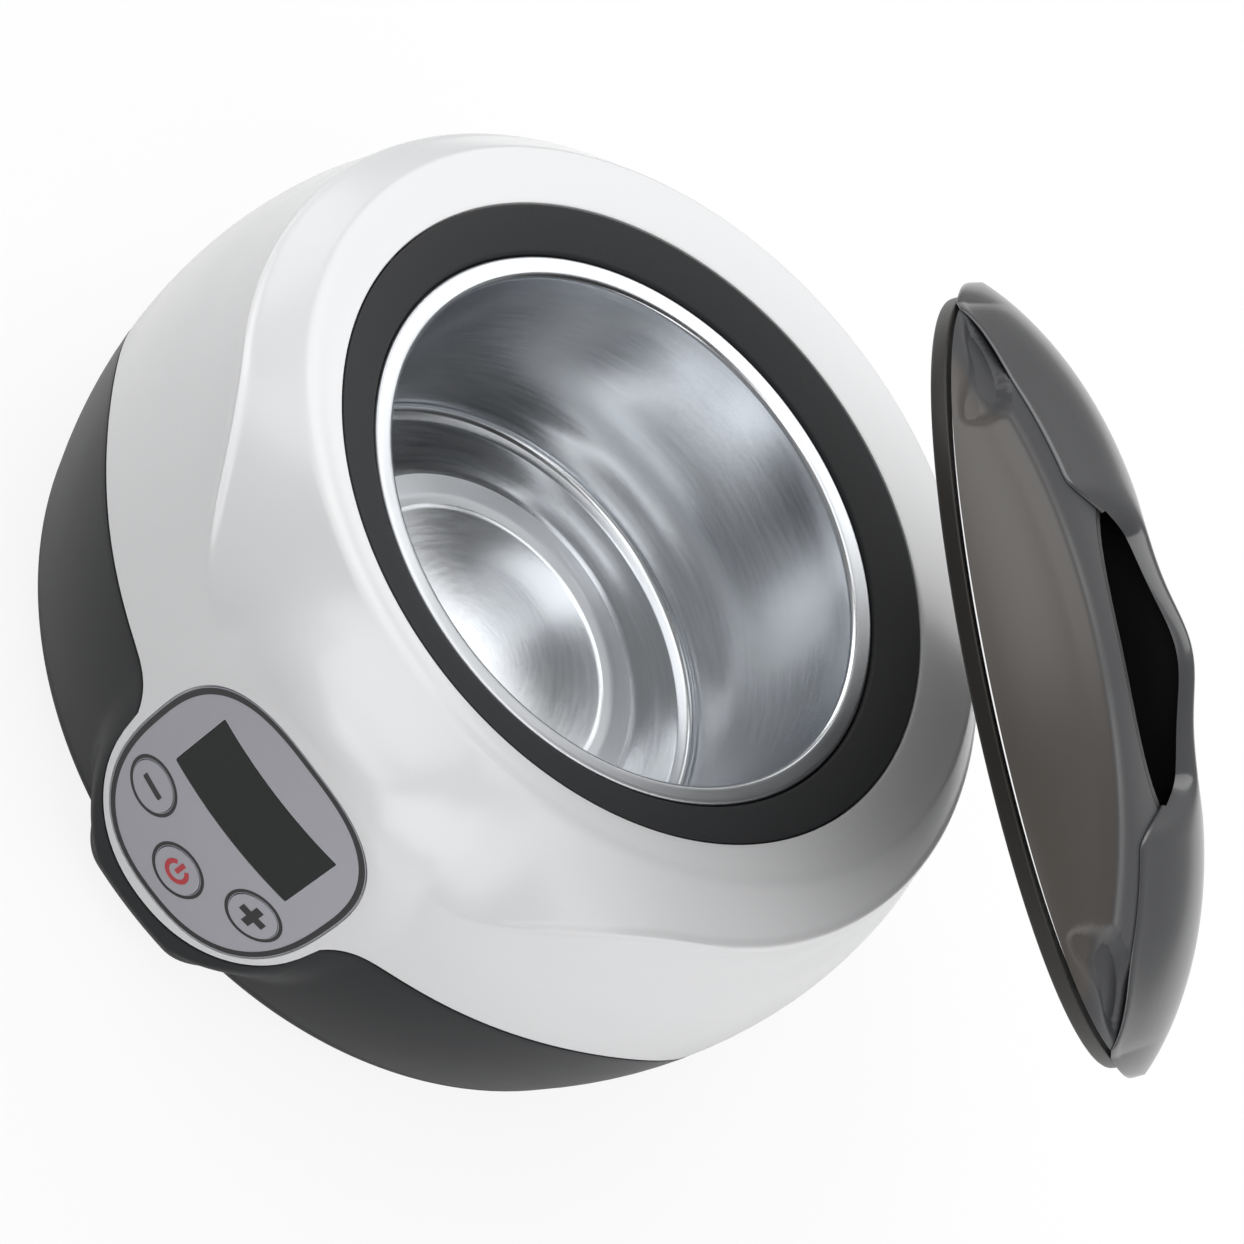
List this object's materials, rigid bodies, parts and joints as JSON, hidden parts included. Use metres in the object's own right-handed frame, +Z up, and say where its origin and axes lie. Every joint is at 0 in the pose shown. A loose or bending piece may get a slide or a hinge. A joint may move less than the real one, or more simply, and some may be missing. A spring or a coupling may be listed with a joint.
{
  "type": "wax warmer",
  "caption": "Round bench-top wax warmer: two-part housing around a heated well, lift-out metal pot, curved key panel with display and a loose domed lid with a band handle.",
  "frame": {"origin": "centre of the housing's footprint, in the plane of the rubber feet", "axes": "+X to the right seen from the panel, +Y to the back, +Z up; the panel faces -Y and the pot lifts out along +Z"},
  "size_m": [0.2445, 0.2005, 0.185],
  "materials": {
    "white_shell": "pearl white, glossy, moulded",
    "black_shell": "black, glossy, moulded",
    "ring_black": "black, fine matt grain",
    "pot_aluminium": "spun, fine turning marks",
    "well_metal": "plain drawn",
    "blanket": "pressed ceramic fibre",
    "mica": "mica sheet",
    "plated_steel": "zinc plated",
    "sensor_brass": "plain",
    "fuse_ceramic": "glazed",
    "panel_print": "printed film, lavender grey, satin",
    "window_dark": "dark tinted lens",
    "module_black": "moulded",
    "board_green": "coated circuit board",
    "key_face": "lavender grey cap",
    "relay_blue": "moulded",
    "capacitor_yellow": "moulded box",
    "terminal_green": "moulded",
    "inlet_black": "moulded",
    "foot_rubber": "moulded",
    "lid_smoke": "smoke brown, high gloss",
    "recess_black": "black, glossy",
    "handle_black": "black, high gloss"
  },
  "bodies": {
    "housing": {"upper_shell": "white_shell", "base_shell": "black_shell", "bottom_plate": "black_shell", "seat_ring": "ring_black", "heater_well": "well_metal", "insulation_blanket": "blanket", "heater_plate": "mica", "clamp_plate": "plated_steel", "clamp_nut": "plated_steel", "temperature_sensor": "sensor_brass", "sensor_clip": "plated_steel", "thermal_fuse": "fuse_ceramic", "fuse_clip": "plated_steel", "panel_overlay": "panel_print", "display_window": "window_dark", "display_module": "module_black", "control_board": "board_green", "tact_switches": "module_black", "power_board": "board_green", "relay": "relay_blue", "safety_capacitor": "capacitor_yellow", "supply_module": "module_black", "terminal_block": "terminal_green", "mains_inlet": "inlet_black", "inlet_pins": "sensor_brass", "rubber_feet": "foot_rubber", "case_screws": "plated_steel", "plate_screws": "plated_steel", "board_screws": "plated_steel", "control_screws": "plated_steel", "ring_screws": "plated_steel", "well_screws": "plated_steel"},
    "pot": {"inner_pot": "pot_aluminium"},
    "lid": {"lid_dome": "lid_smoke", "lid_rim": "lid_smoke", "lid_pan": "recess_black", "lid_handle": "handle_black", "lid_screws": "plated_steel"},
    "key_minus": {"button_minus": "key_face"},
    "key_power": {"button_power": "key_face"},
    "key_plus": {"button_plus": "key_face"}
  },
  "joints": [
    {"name": "pot_lift", "type": "slide", "parent": "housing", "child": "pot", "axis": [0, 0, 1], "range_m": [0, 0.07]},
    {"name": "lid_swing", "type": "hinge", "parent": "pot", "child": "lid", "pos_m": [0.0956, 0.0479, 0.0157], "axis": [-0.4441, 0.7001, 0.5591], "range_deg": [-41.7, 0]},
    {"name": "minus_press", "type": "slide", "parent": "housing", "child": "key_minus", "axis": [0, 1, 0], "range_m": [0, 0.0006], "stiffness_N_per_m": 800},
    {"name": "power_press", "type": "slide", "parent": "housing", "child": "key_power", "axis": [0, 1, 0], "range_m": [0, 0.0006], "stiffness_N_per_m": 800},
    {"name": "plus_press", "type": "slide", "parent": "housing", "child": "key_plus", "axis": [0, 1, 0], "range_m": [0, 0.0006], "stiffness_N_per_m": 800}
  ]
}
